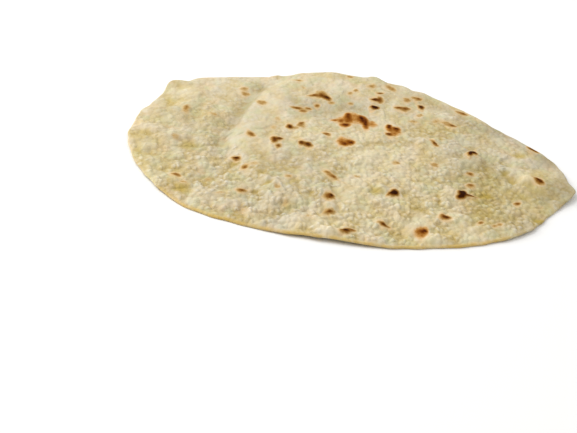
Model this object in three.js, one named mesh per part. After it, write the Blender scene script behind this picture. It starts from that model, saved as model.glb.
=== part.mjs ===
// Lavash: a thin round of soft flatbread that lies flat with its blistered, toasted face up.
// Units are millimetres and +Z is up. The origin is on the floor, under the middle of the bread's box.
// +X points to the corner of the outline, and -Y is the front.

import * as THREE from "three";

const { radToDeg, lerp, smoothstep, euclideanModulo, seededRandom } = THREE.MathUtils;

// Sheet of bread
const MIDDLE_THICKNESS = 2.1;
const RIM_THICKNESS = 1.5;
const RIM_TAPER_FROM = 0.85; // share of the radius where the sheet starts to thin towards its rim
const RIM_UNDERCUT = 0.7; // the lower edge lies this far inside the upper one

// Outline, as [angle in degrees, radius], anticlockwise from +X
const OUTLINE = [
  [4.5, 153.4], [9, 152], [15.4, 148.6], [24, 142], [36, 136], [50, 138.7], [58, 140], [64.5, 141.2],
  [67.5, 141.8], [69.8, 139.6], [72.5, 141.8], [78, 140.2], [82, 141.6], [85, 142], [90, 142.4],
  [96, 146.5], [101, 144], [105.5, 141.4], [109, 138.4], [115, 137.2], [128, 140.8], [136, 143.5],
  [142, 146.4], [146.5, 143.4], [150.5, 149], [154.5, 146.5], [160.6, 144], [166.8, 143.6],
  [172.4, 144.8], [181.6, 145.4], [190, 148.4], [205, 151.8], [220, 156.3], [232, 160.3],
  [245, 155.5], [257, 151.2], [268, 148.7], [280, 149.5], [294, 149.5], [308, 152], [321, 153.5],
  [335, 150.8], [344, 154], [348.5, 157], [352, 160.2], [354.2, 157], [356.4, 154.8], [359.6, 153.6],
];

// Stretches of rim that stand off the floor, as [angle, half width, lift, share of the radius it starts at]
const RIM_LIFTS = [
  [67, 3.5, 0.7, 0.88],
  [73, 3.4, 1.2, 0.88],
  [82, 4.2, 2.9, 0.85],
  [85, 34, 3.8, 0.5],
  [105.5, 3, 1, 0.88],
  [114, 2.8, 1.6, 0.9],
  [141, 18, 2.2, 0.66],
  [150, 7, 4.8, 0.78],
  [192, 24, 1.6, 0.86],
  [219, 16, 1, 0.74],
  [268, 19, 2.2, 0.72],
  [320, 15, 1.2, 0.74],
  [353, 15, 3, 0.7],
];

// Shallow air pocket under the back and right of the upper face, steep on its left side only
const POCKET = {
  x: 17,
  y: 10,
  reachX: 97,
  reachY: 150,
  rise: 3.3,
  steepSlope: 0.1, // share of its reach that the slope takes on the left
  gentleSlope: 0.95, // and on the right
  closesFrom: 0.84, // share of the bread's radius where it starts to close towards the rim
};

// Main blisters of the upper face, as [x, y, width, height]
const BLISTERS = [
  [-20, 91, 17, 1.6], [-34, 58, 13, 1], [5, 52, 27, 2.1], [0, 9, 16, 1.6], [32, 43, 16, 1.7],
  [-40, 23, 10, 1.2], [-66, -1, 10, 1.2], [-47, -6, 13, 1.5], [-28, -5, 13, 1.5], [-72, -46, 12, 1.5],
  [-64, -59, 13, 1.3], [-9, -51, 13, 1.2], [-64, -99, 12, 1.3], [-8, -87, 11, 1.3], [-7, -110, 11, 1.2],
  [-114, 31, 15, 1.5], [-93, 25, 19, 1.6], [-115, -23, 17, 1.4], [-107, -88, 13, 1.3], [21, 101, 11, 1.2],
  [19, 84, 10, 1.2], [40, 90, 13, 1.2], [54, 98, 10, 1.1], [62, 31, 10, 1], [89, 19, 11, 1.3],
  [85, -37, 10, 1.1], [80, -54, 17, 1.9], [34, -67, 14, 1.8], [67, -95, 13, 1.5], [27, -120, 13, 1.3],
  [52, -120, 18, 2], [5, -134, 13, 1.3], [133, -12, 15, 1.7],
];

// Small blisters scattered over the rest of the face
const SCATTER = { count: 260, seed: 21, narrowest: 8, widest: 14, lowest: 0.35, highest: 1, reach: 0.95 };
const BLISTERS_END = [0.92, 1]; // shares of the radius between which blisters die away

// Rings of points on the two faces, with six more points on each ring than on the one inside it
const LOWER_RINGS = 18;
const UPPER_RINGS = 2 * LOWER_RINGS;
const SECTORS = 6;

// Rim of the bread
function outlineCurve() {
  const first = OUTLINE.slice(0, 2).map(([angle, radius]) => [angle + 360, radius]);
  const last = OUTLINE.slice(-2).map(([angle, radius]) => [angle - 360, radius]);
  const knots = [...last, ...OUTLINE, ...first];
  const angles = knots.map(([angle]) => angle);
  const radii = knots.map(([, radius]) => radius);
  return new THREE.CubicInterpolant(angles, radii, 1);
}

const rimCurve = outlineCurve();

function rimRadius(angle) {
  return rimCurve.evaluate(euclideanModulo(radToDeg(angle), 360))[0];
}

function bell(distance, halfWidth) {
  return distance < halfWidth ? 0.5 + 0.5 * Math.cos((Math.PI * distance) / halfWidth) : 0;
}

function rimLift(angle, share) {
  const degrees = radToDeg(angle);
  let lift = 0;
  for (const [middle, halfWidth, height, from] of RIM_LIFTS) {
    const apart = Math.abs(euclideanModulo(degrees - middle + 180, 360) - 180);
    lift += height * bell(apart, halfWidth) * Math.max(0, (share - from) / (1 - from)) ** 2;
  }
  return lift;
}

// Relief of the upper face
function pocketRise(x, y, share) {
  const across = (x - POCKET.x) / POCKET.reachX;
  const along = (y - POCKET.y) / POCKET.reachY;
  const reach = Math.hypot(across, along);
  const towardsRight = reach > 0 ? 0.5 + (0.5 * across) / reach : 0.5;
  const slope = lerp(POCKET.steepSlope, POCKET.gentleSlope, smoothstep(towardsRight, 0.1, 0.9));
  const closing = 1 - smoothstep(share, POCKET.closesFrom, 1);
  return POCKET.rise * closing * (1 - smoothstep(reach, 1 - slope, 1));
}

function scatteredBlisters() {
  seededRandom(SCATTER.seed);
  const blisters = [];
  for (let i = 0; i < SCATTER.count; i++) {
    const angle = 2 * Math.PI * seededRandom();
    const radius = rimRadius(angle) * SCATTER.reach * Math.sqrt(seededRandom());
    const width = lerp(SCATTER.narrowest, SCATTER.widest, seededRandom());
    const height = lerp(SCATTER.lowest, SCATTER.highest, seededRandom());
    blisters.push([radius * Math.cos(angle), radius * Math.sin(angle), width, height]);
  }
  return blisters;
}

const allBlisters = [...BLISTERS, ...scatteredBlisters()];

function blisterRise(x, y, share) {
  let rise = 0;
  for (const [middleX, middleY, width, height] of allBlisters) {
    rise = Math.max(rise, height * bell(Math.hypot(x - middleX, y - middleY), width / 2));
  }
  return rise * (1 - smoothstep(share, ...BLISTERS_END));
}

function thickness(share) {
  return lerp(MIDDLE_THICKNESS, RIM_THICKNESS, smoothstep(share, RIM_TAPER_FROM, 1));
}

// Points of the two faces, at an angle and a share of the radius
function upperPoint(angle, share) {
  const radius = rimRadius(angle) * share;
  const x = radius * Math.cos(angle);
  const y = radius * Math.sin(angle);
  const relief = pocketRise(x, y, share) + blisterRise(x, y, share);
  return [x, y, rimLift(angle, share) + thickness(share) + relief];
}

function lowerPoint(angle, share) {
  const radius = (rimRadius(angle) - RIM_UNDERCUT) * share;
  return [radius * Math.cos(angle), radius * Math.sin(angle), rimLift(angle, share)];
}

function facePoints(rings, pointAt) {
  const points = [pointAt(0, 0)];
  for (let ring = 1; ring <= rings; ring++) {
    const count = SECTORS * ring;
    for (let i = 0; i < count; i++) points.push(pointAt((2 * Math.PI * i) / count, ring / rings));
  }
  return points;
}

// Triangles of a face, anticlockwise from above
function ringStart(ring) {
  return ring === 0 ? 0 : 1 + (SECTORS / 2) * ring * (ring - 1);
}

function onRing(ring, i) {
  return ring === 0 ? 0 : ringStart(ring) + (i % (SECTORS * ring));
}

function faceTriangles(rings) {
  const triangles = [];
  for (let ring = 0; ring < rings; ring++) {
    for (let sector = 0; sector < SECTORS; sector++) {
      const inner = sector * ring;
      const outer = sector * (ring + 1);
      for (let i = 0; i <= ring; i++) {
        const here = onRing(ring, inner + i);
        const ahead = onRing(ring + 1, outer + i + 1);
        triangles.push([here, onRing(ring + 1, outer + i), ahead]);
        if (i < ring) triangles.push([here, ahead, onRing(ring, inner + i + 1)]);
      }
    }
  }
  return triangles;
}

// Edge of the sheet, with two upper points to each lower one
function edgeTriangles(lowerStart) {
  const triangles = [];
  for (let i = 0; i < SECTORS * LOWER_RINGS; i++) {
    const [left, middle, right] = [0, 1, 2].map((step) => onRing(UPPER_RINGS, 2 * i + step));
    const lowerLeft = lowerStart + onRing(LOWER_RINGS, i);
    const lowerRight = lowerStart + onRing(LOWER_RINGS, i + 1);
    triangles.push([lowerLeft, lowerRight, middle], [lowerLeft, middle, left], [lowerRight, right, middle]);
  }
  return triangles;
}

function breadGeometry() {
  const upper = facePoints(UPPER_RINGS, upperPoint);
  const lower = facePoints(LOWER_RINGS, lowerPoint);
  const lowerFace = faceTriangles(LOWER_RINGS).map(([a, b, c]) => [c, b, a].map((i) => i + upper.length));
  const triangles = [...faceTriangles(UPPER_RINGS), ...lowerFace, ...edgeTriangles(upper.length)];
  const geometry = new THREE.BufferGeometry();
  geometry.setAttribute("position", new THREE.Float32BufferAttribute([...upper, ...lower].flat(), 3));
  geometry.setIndex(triangles.flat());
  geometry.computeBoundingBox();
  const middle = geometry.boundingBox.getCenter(new THREE.Vector3());
  geometry.translate(-middle.x, -middle.y, 0);
  geometry.computeVertexNormals();
  return geometry;
}

const crust = new THREE.MeshStandardMaterial({ color: 0xd9c9a1, roughness: 0.85, metalness: 0 });
const lavash = new THREE.Mesh(breadGeometry(), crust);
lavash.name = "lavash";

const bread = new THREE.Group();
bread.add(lavash);

export default bread;
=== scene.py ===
"""Dresses the lavash: a thin round of soft flatbread with a blistered, toasted upper face.

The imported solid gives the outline, the heights and the underside. A fine lattice is laid over it, a Geometry
Nodes tree raises the small bubbles on that lattice, and a procedural crust browns the marks of the griddle.
"""

import logging
import math
import random
from collections.abc import Iterable, Iterator, Mapping
from dataclasses import dataclass, field
from enum import Enum
from types import MappingProxyType
from typing import NamedTuple, Self

import bmesh
import bpy
import numpy as np
from mathutils import Matrix, Vector
from mathutils.bvhtree import BVHTree


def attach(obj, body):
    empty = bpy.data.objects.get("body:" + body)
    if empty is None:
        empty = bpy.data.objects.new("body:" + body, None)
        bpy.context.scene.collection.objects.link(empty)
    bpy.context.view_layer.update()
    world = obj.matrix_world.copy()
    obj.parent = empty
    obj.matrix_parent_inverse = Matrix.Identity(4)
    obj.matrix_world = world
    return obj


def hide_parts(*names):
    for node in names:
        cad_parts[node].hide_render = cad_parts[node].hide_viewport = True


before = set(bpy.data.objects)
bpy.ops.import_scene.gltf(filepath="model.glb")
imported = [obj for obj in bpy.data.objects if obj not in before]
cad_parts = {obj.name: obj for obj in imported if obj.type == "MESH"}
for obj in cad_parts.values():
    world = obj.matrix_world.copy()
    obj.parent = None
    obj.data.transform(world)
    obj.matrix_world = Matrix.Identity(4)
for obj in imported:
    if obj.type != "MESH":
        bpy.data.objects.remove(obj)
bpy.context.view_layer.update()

MM = 0.001
WHOLE_TURN = 2 * math.pi
IMAGE_WIDTH = 577
IMAGE_HEIGHT = 433
LOG = logging.getLogger("lavash")

Pixel = tuple[float, float]
Span = tuple[float, float]
Colour = tuple[int, int, int]
Stops = tuple[tuple[float, Colour], ...]
Values = Mapping[str | int, object]
NOTHING: Values = MappingProxyType({})


def linear(colour: Colour) -> tuple[float, float, float, float]:
    """Turns a screen colour into the linear colour that shaders take.

    Args:
        colour: red, green and blue from 0 to 255.

    Returns:
        Linear red, green, blue and an alpha of 1.
    """
    shares = [channel / 255 for channel in colour]
    parts = [s / 12.92 if s <= 0.04045 else ((s + 0.055) / 1.055) ** 2.4 for s in shares]
    return (*parts, 1.0)


def eased(values: np.ndarray, low: float, high: float) -> np.ndarray:
    """Eases from 0 at low to 1 at high; low may be the larger number."""
    share = np.clip((values - low) / (high - low), 0, 1)
    return share * share * (3 - 2 * share)


@dataclass(frozen=True)
class Field:
    """A socket of a node tree, with the arithmetic that adds Math nodes."""

    canvas: "Canvas"
    socket: bpy.types.NodeSocket

    def _math(self, operation: str, first: "Field | float", second: "Field | float") -> "Field":
        """Adds one Math node."""
        return self.canvas.field("ShaderNodeMath", {"operation": operation}, {0: first, 1: second})

    def __add__(self, other: "Field | float") -> "Field":
        """Adds."""
        return self._math("ADD", self, other)

    def __radd__(self, other: float) -> "Field":
        """Adds to a number."""
        return self._math("ADD", other, self)

    def __sub__(self, other: "Field | float") -> "Field":
        """Subtracts."""
        return self._math("SUBTRACT", self, other)

    def __rsub__(self, other: float) -> "Field":
        """Subtracts from a number."""
        return self._math("SUBTRACT", other, self)

    def __mul__(self, other: "Field | float") -> "Field":
        """Multiplies."""
        return self._math("MULTIPLY", self, other)

    def __rmul__(self, other: float) -> "Field":
        """Multiplies a number."""
        return self._math("MULTIPLY", other, self)

    def __rtruediv__(self, other: float) -> "Field":
        """Divides a number."""
        return self._math("DIVIDE", other, self)

    def power(self, exponent: float) -> "Field":
        """Raises to a power."""
        return self._math("POWER", self, exponent)

    def larger(self, other: "Field | float") -> "Field":
        """Takes the larger of two values."""
        return self._math("MAXIMUM", self, other)

    def between(self, low: float, high: float) -> "Field":
        """Goes from low where the field is 0 to high where it is 1."""
        return low + (high - low) * self

    def ease(self, low: float, high: float) -> "Field":
        """Eases from 0 at low to 1 at high; low may be the larger number."""
        sockets = {"Value": self, "From Min": low, "From Max": high}
        return self.canvas.field("ShaderNodeMapRange", {"interpolation_type": "SMOOTHSTEP"}, sockets)


@dataclass(frozen=True)
class Canvas:
    """A node tree, with one way to add a node to it."""

    tree: bpy.types.NodeTree

    @staticmethod
    def _pick(sockets: Iterable[bpy.types.NodeSocket], key: str | int) -> bpy.types.NodeSocket:
        """Finds a socket that is in use.

        Args:
            sockets: a node's inputs or outputs.
            key: the socket's name, or its place among those in use.

        Returns:
            The socket.
        """
        usable = [socket for socket in sockets if socket.enabled]
        if isinstance(key, int):
            return usable[key]
        return next(socket for socket in usable if socket.name == key)

    @staticmethod
    def _set_stops(ramp: bpy.types.ColorRamp, stops: Stops) -> None:
        """Sets a colour ramp's stops.

        Args:
            ramp: the ramp.
            stops: its places and colours.
        """
        while len(ramp.elements) < len(stops):
            ramp.elements.new(1.0)
        for element, (place, colour) in zip(ramp.elements, stops):
            element.position = place
            element.color = linear(colour)

    def node(self, kind: str, settings: Values = NOTHING, sockets: Values = NOTHING) -> bpy.types.Node:
        """Adds a node.

        Args:
            kind: the node's type.
            settings: its properties, set first; "stops" gives a colour ramp's places and colours.
            sockets: numbers, colours or fields for its inputs, by name or place.

        Returns:
            The new node.
        """
        made = self.tree.nodes.new(kind)
        for name, value in settings.items():
            if name == "stops":
                self._set_stops(made.color_ramp, value)
            else:
                setattr(made, name, value)
        for key, value in sockets.items():
            socket = self._pick(made.inputs, key)
            if isinstance(value, Field):
                self.tree.links.new(value.socket, socket)
            else:
                socket.default_value = value
        return made

    def field(
        self, kind: str, settings: Values = NOTHING, sockets: Values = NOTHING, output: str | int = 0
    ) -> Field:
        """Adds a node and returns one of its outputs as a field."""
        return Field(self, self._pick(self.node(kind, settings, sockets).outputs, output))

    def mix(self, share: Field, low: object, high: object) -> Field:
        """Mixes two colours, from low at 0 to high at 1."""
        sockets = {"Factor": share, "A": low, "B": high}
        return self.field("ShaderNodeMix", {"data_type": "RGBA"}, sockets)

    def ramp(self, stops: Stops, share: Field) -> Field:
        """Returns a colour ramp's colour at a share of its length."""
        return self.field("ShaderNodeValToRGB", {"stops": stops}, {"Fac": share}, "Color")

    def vector(self, operation: str, *parts: object) -> Field:
        """Adds one Vector Math node."""
        return self.field("ShaderNodeVectorMath", {"operation": operation}, dict(enumerate(parts)))

    def noise(
        self, place: Field, width: Field | float, detail: float, flat: bool = False, output: str | int = 0
    ) -> Field:
        """Returns noise whose patches are about that wide, on the plan alone where it is flat."""
        sockets = {"Vector": place, "Scale": 1 / width, "Detail": detail}
        return self.field("ShaderNodeTexNoise", {"noise_dimensions": "2D" if flat else "3D"}, sockets, output)


class Toast(Enum):
    """How far the griddle browned a mark, as the level at its middle."""

    FAINT = 0.32
    TAN = 0.48
    BROWN = 0.74
    DARK = 1.02
    CHAR = 1.4


@dataclass(frozen=True)
class Spot:
    """A spot of the upper face, by its middle and its size in the photograph's pixels."""

    x: float
    y: float
    wide: float
    tall: float

    @classmethod
    def rows(cls, *rows: tuple) -> tuple[Self, ...]:
        """Makes one spot of each row of values."""
        return tuple(cls(*row) for row in rows)


@dataclass(frozen=True)
class Mark(Spot):
    """A toasted mark: how far it is browned, and its tilt in degrees."""

    toast: Toast
    tilt: float = 0.0

    @property
    def level(self) -> float:
        """Returns the field's value in the middle of the mark."""
        return self.toast.value


@dataclass(frozen=True)
class Patch(Spot):
    """An uneven patch: the field's value in its middle, and its tilt in degrees."""

    level: float
    tilt: float = 0.0


# Each row: x, y, width, height, toast or level, and the tilt where there is one
FAINT, TAN, BROWN, DARK, CHAR = Toast

# Marks over the air pocket and the back
BACK_MARKS = Mark.rows(
    (314, 95.3, 11, 2, BROWN, -4), (320.6, 95.2, 9, 3, BROWN, 6), (326.4, 97, 8, 3.2, DARK, 24),
    (321, 92.8, 9, 4.4, TAN, 10), (331, 103.2, 6, 2.4, TAN), (317, 105.6, 4.2, 2.8, BROWN),
    (296.4, 107.5, 9, 2, BROWN, 6), (303.2, 110.7, 8, 3, TAN), (303, 111.2, 5, 2, BROWN),
    (308.4, 108.4, 5.5, 1.8, BROWN, 10), (297.5, 80.6, 9, 1.8, TAN, 14), (303, 87, 6, 1.6, FAINT, 25),
    (244, 88.8, 6.5, 3, TAN), (245.2, 93.3, 8, 3.2, TAN, 12), (261.4, 102.3, 8.2, 3.8, TAN, 8),
    (349.8, 77, 5.4, 2, TAN, 8), (371.4, 86.2, 9, 4, FAINT), (371.8, 85.8, 6, 2, TAN),
    (390.4, 88.1, 9, 3.4, TAN, 20), (379.6, 93.2, 5.6, 1.8, BROWN), (375, 99, 8, 2, DARK),
    (379.8, 99.6, 5.4, 4.6, BROWN), (380, 101.2, 7, 3, FAINT), (374.4, 106.5, 7, 2.6, CHAR, 5),
    (349.9, 93.4, 4.6, 2, TAN), (355.7, 90.5, 4.6, 2, TAN), (350.5, 104, 4.4, 2.8, TAN),
    (406.7, 100.3, 7, 3.6, TAN, 14), (415, 98.4, 8, 2.2, TAN, 12), (418.4, 99.6, 6, 2.4, BROWN),
    (399, 107.3, 9, 2, BROWN), (405, 108.2, 7, 3.6, BROWN), (421, 106.4, 5.4, 2.6, DARK, 8),
    (419.5, 115.8, 5.4, 2.8, TAN), (412.6, 121.7, 9, 2.4, FAINT), (435.8, 121.7, 7, 4, FAINT),
    (461.4, 113.2, 9.4, 2.2, BROWN, 18), (448.8, 124.9, 14, 3.4, TAN, 17), (452.2, 126, 8, 2, BROWN, 14),
    (532.5, 149.3, 11, 1.8, DARK, 28),
)

# Marks across the middle
MIDDLE_MARKS = Mark.rows(
    (334.4, 120.2, 6, 1.6, BROWN), (341, 120.6, 9, 4.4, TAN), (340.6, 120.8, 5, 2.4, BROWN),
    (347.8, 115.2, 6, 4.4, DARK), (348, 119.8, 8, 5.4, BROWN), (344.8, 124.8, 8, 2.8, DARK, 6),
    (354.2, 116.6, 10, 8, TAN), (344, 120.4, 14, 7, FAINT), (361.2, 117.8, 7, 5.6, DARK),
    (365.4, 122.8, 5.2, 7, DARK), (371.4, 123.6, 9, 5, TAN, 8), (389.2, 126, 4.8, 5.2, DARK),
    (396, 128.6, 6, 2.8, DARK), (388.8, 134.1, 5.6, 2.2, DARK), (394.6, 131.4, 10, 6.4, TAN),
    (393, 134.6, 8, 3.6, TAN), (340.6, 141.2, 7, 5, TAN), (341.6, 142.4, 5, 3.6, BROWN),
    (346.6, 143, 12.5, 3.4, BROWN), (350.6, 142.8, 6.4, 2.2, DARK, -8), (344, 144, 6, 2.2, DARK, 8),
    (326.6, 134, 6.4, 2.4, BROWN, 14), (301.2, 142.4, 4.6, 3, DARK), (307.4, 143.8, 8, 3.2, DARK, 4),
    (289.5, 126.2, 5.4, 3, DARK), (295, 127.8, 7, 1.8, TAN), (300.4, 123.9, 6, 2.8, BROWN, -35),
    (303, 126, 8, 5, FAINT), (274.4, 139, 5.6, 3.8, DARK), (279.6, 138, 4.4, 2, DARK),
    (278, 145.8, 4.4, 4, BROWN), (277.6, 118.8, 5, 3.6, FAINT), (273.5, 127.3, 5, 3.6, FAINT),
    (250.8, 133.5, 7, 3.2, BROWN, 20), (235.8, 157.3, 6.6, 2.6, DARK, 14),
    (244.7, 166.3, 5, 2.8, BROWN, 10), (253.2, 163.4, 8, 2.2, FAINT), (434.2, 143.3, 9, 2.2, BROWN, 44),
    (434.8, 143.5, 4, 1.4, DARK, 36), (471.8, 152.4, 6, 3.4, CHAR), (470, 153.8, 3.4, 3.2, CHAR),
    (475.4, 154, 3, 3.2, DARK), (395.6, 163.4, 6.4, 2.6, TAN, 12), (396, 164.2, 6, 3, FAINT),
    (434.2, 165, 7, 3.6, TAN), (330.6, 174.8, 14.4, 3.6, TAN, 33), (326.6, 172.2, 6, 2, TAN, 20),
    (332.4, 175.7, 9, 1.8, BROWN, 32), (356, 176.4, 7, 2.4, FAINT), (469.8, 174.8, 7, 4, FAINT),
    (469.8, 174.2, 5.4, 2.2, BROWN, 8), (470.8, 186, 7.4, 4, TAN), (470.2, 184.9, 5, 2, BROWN, 20),
    (186, 107.8, 8, 5.4, FAINT), (186, 107.8, 6.4, 2.4, TAN, -48), (213.8, 113.6, 10, 2.2, FAINT, 14),
    (175.4, 135.6, 8, 3.6, FAINT),
)

# Marks along the front
FRONT_MARKS = Mark.rows(
    (462.4, 192, 6.4, 4.6, CHAR), (461.2, 195.4, 7.4, 2.4, CHAR, -10), (468.8, 195, 13, 1.6, DARK, -2),
    (393.8, 192.2, 8.6, 4.6, DARK, -14), (394.2, 191.4, 6, 3.2, CHAR, -10),
    (389.4, 194.4, 6, 2.6, BROWN, -20), (328.6, 196.2, 10, 4.2, BROWN, 8),
    (331.2, 195.2, 5.6, 2.6, DARK, 14), (328.6, 211.8, 11, 4.8, TAN), (329.2, 210.6, 9, 1.3, DARK, -6),
    (534.6, 177.8, 7, 2.6, TAN, 16), (539.4, 179.8, 8.4, 3.2, DARK, 23), (517.2, 204, 6, 2.4, BROWN),
    (445, 216.6, 8, 3.6, DARK), (383.6, 223.2, 10.5, 2.2, BROWN, 17), (383.2, 222.8, 6, 1.2, DARK, 17),
    (421.4, 230.8, 11, 7, BROWN), (424.4, 230.6, 5.4, 3.4, DARK), (345, 230, 8.6, 3.8, DARK),
    (351, 229.4, 8.4, 2.8, BROWN, 4), (480.5, 223, 5, 2.6, BROWN), (494.8, 226.2, 5, 2.4, TAN),
    (499.3, 224.8, 5, 2.4, TAN), (277, 187.2, 5, 2, TAN, 8), (241.2, 190.1, 7.6, 3, BROWN, -4),
    (242.8, 209.4, 4, 2.4, FAINT, 40), (285, 203.4, 4.4, 4, FAINT), (307.6, 216.9, 6, 2.4, FAINT),
    (288, 176, 5, 2.6, TAN), (219.6, 193.5, 8, 2, FAINT), (207.8, 179.4, 6, 3, FAINT),
    (175.9, 173.6, 7.4, 2.6, BROWN, 14), (183, 181.8, 8, 1.4, TAN, 15),
)

# Thin yellowish hollows, sunk and darkened: partly the thin dough's own yellow, partly painted shade in the
# hollows
HOLLOWS = Patch.rows(
    (182.5, 187, 25, 10, 0.85), (138.6, 149, 8.4, 20, 0.5), (146, 132, 14, 8, 0.6),
    (169.5, 103, 12, 13, 0.5), (188, 143.5, 26, 9, 0.75), (180, 87, 14, 6, 0.4), (235, 163.4, 16, 4, 0.8),
    (262, 172.7, 18, 7, 0.55), (268, 183.6, 12, 4, 0.7), (286, 206, 16, 9, 0.6), (294, 181, 14, 6, 0.6),
    (376.6, 191.4, 18, 8, 0.75), (405, 194.5, 7, 7, 0.6), (485.6, 196.4, 18, 7, 1.0),
    (504.3, 174.3, 12, 7, 0.8), (512, 181, 9, 9, 0.6), (519, 156.4, 16, 6, 0.75), (534, 191, 16, 8, 0.5),
    (538, 221, 14, 6, 0.8), (500.6, 210, 12, 6, 0.4), (207, 180.4, 16, 8, 0.55),
)

# Soft pale swells
SWELLS = Patch.rows(
    (176, 115, 24, 13, 0.7), (186, 106, 18, 10, 0.5), (211, 116, 26, 12, 0.6), (168, 137, 20, 10, 0.6),
    (150, 128, 18, 9, 0.5), (145, 147, 12, 8, 0.35), (153, 160, 12, 8, 0.6), (196, 96, 24, 10, 0.5),
    (160, 112, 16, 10, 0.4), (190, 170, 22, 9, 0.4), (211, 196, 30, 12, 0.6), (228, 200, 30, 12, 0.6),
    (240, 188, 22, 10, 0.5), (266, 179, 12, 8, 1.0), (275, 181.5, 10, 7, 0.9), (287, 179, 22, 10, 0.6),
    (255, 172, 14, 8, 0.6), (289, 201, 22, 10, 0.5), (270, 205, 16, 8, 0.6), (260, 216, 26, 10, 0.6),
    (300, 222, 26, 12, 0.9), (318, 222, 30, 14, 0.8), (330, 232, 30, 10, 1.0), (364, 160, 20, 14, 0.7),
    (278, 97, 40, 16, 0.5), (352, 194, 26, 14, 0.7), (381, 190, 12, 8, 0.8), (450, 193, 16, 12, 1.0),
    (442, 150, 26, 14, 0.6), (470, 162, 24, 12, 1.0), (516, 171, 16, 8, 0.75, 30),
    (526.5, 180.5, 14, 8, 1.1), (381, 222, 12, 8, 0.8), (440, 214, 12, 8, 0.7), (411, 231, 16, 10, 0.8),
    (436, 240, 30, 10, 0.7), (470, 232, 30, 10, 0.4), (400, 172, 22, 10, 0.4), (490, 150, 30, 14, 0.4),
)

# Stretches where the marks are more orange
RUDDY_PATCHES = Patch.rows(
    (352, 120, 52, 20, 1.0), (345.5, 141.5, 24, 12, 1.0), (393, 130, 20, 14, 0.6), (421, 231, 24, 12, 1.0),
    (441, 217, 16, 9, 0.2),
)

# Stretches that are smoother than the rest
SMOOTH_PATCHES = Patch.rows(
    (162, 110, 100, 74, 0.5), (150, 150, 60, 60, 0.5), (215, 95, 80, 40, 0.5), (256, 115, 46, 60, 0.65),
    (246, 142, 36, 32, 0.6), (278, 152, 60, 36, 0.35), (542, 178, 90, 76, 0.55), (500, 150, 70, 40, 0.2),
    (190, 165, 80, 40, 0.32), (478, 233, 60, 22, 0.35), (246, 131, 60, 20, 0.9, -12),
)

# Stretches that are more pebbly than the rest
PEBBLY_PATCHES = Patch.rows(
    (300, 206, 80, 30, 0.45), (245, 198, 60, 26, 0.12), (455, 130, 80, 40, 0.35), (190, 116, 70, 24, 0.5),
    (425, 200, 50, 24, 0.25),
)

# Painted light and shade: stretches where the dough's colour is made brighter or, below zero, darker
SHADE_PATCHES = Patch.rows(
    (195, 150, 150, 110, -0.07), (200, 128, 50, 40, -0.12), (280, 195, 110, 60, -0.1),
    (380, 212, 130, 30, 0.08), (280, 152, 60, 26, -0.12), (328, 108, 80, 24, -0.36),
    (370, 112, 130, 50, -0.06), (545, 163, 40, 16, -0.45), (560, 190, 44, 34, -0.5),
    (526, 180, 20, 12, 0.3), (205, 92, 80, 30, 0.06), (500, 195, 110, 60, -0.22), (480, 135, 70, 24, -0.22),
    (330, 228, 60, 14, 0.15), (440, 238, 90, 12, 0.12), (281, 215, 48, 24, -0.13), (165, 176, 40, 26, 0.1),
    (455, 160, 90, 40, -0.2), (290, 93, 60, 24, -0.07), (300, 170, 80, 40, -0.08), (430, 160, 44, 26, 0.18),
    (490, 168, 50, 34, -0.12), (455, 222, 60, 24, 0.08), (520, 222, 50, 20, -0.1),
    (166, 137, 20, 12, -0.15), (425, 102, 60, 14, -0.2, 18), (470, 122, 60, 14, -0.26, 22),
    (515, 143, 60, 14, -0.28, 25), (552, 165, 44, 14, -0.2, 38), (345, 78, 110, 12, -0.1),
    (132, 138, 14, 50, 0.14), (148, 107, 30, 12, 0.1, -38), (148, 172, 34, 14, 0.16, 48),
    (185, 202, 64, 12, 0.12, 24), (222, 122, 34, 10, -0.12, -22), (266, 91, 24, 9, -0.12, -45),
    (190, 124, 12, 10, -0.12), (148, 137, 12, 8, -0.12), (134, 121, 24, 28, 0.22),
    (166, 112, 30, 14, -0.18), (181, 86, 20, 10, 0.13), (331, 231, 26, 12, 0.1),
)

# Stretches where the dough is yellower
WARM_PATCHES = Patch.rows(
    (502, 197, 120, 64, 1.0), (475, 233, 70, 20, 0.5), (524, 218, 50, 24, 0.6), (210, 119, 44, 26, 0.6),
    (192, 138, 56, 36, 0.25), (165, 176, 44, 28, 0.3), (395, 160, 120, 34, 0.3), (405, 218, 150, 44, 0.45),
    (440, 130, 80, 22, 0.5), (150, 161, 48, 58, 0.7), (175, 95, 30, 30, 0.5), (435, 106, 90, 14, 0.35, 20),
    (180, 168, 70, 40, 0.16), (362, 160, 60, 30, 0.2), (195, 95, 60, 26, 0.16), (168, 113, 34, 16, 0.7),
)


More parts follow.
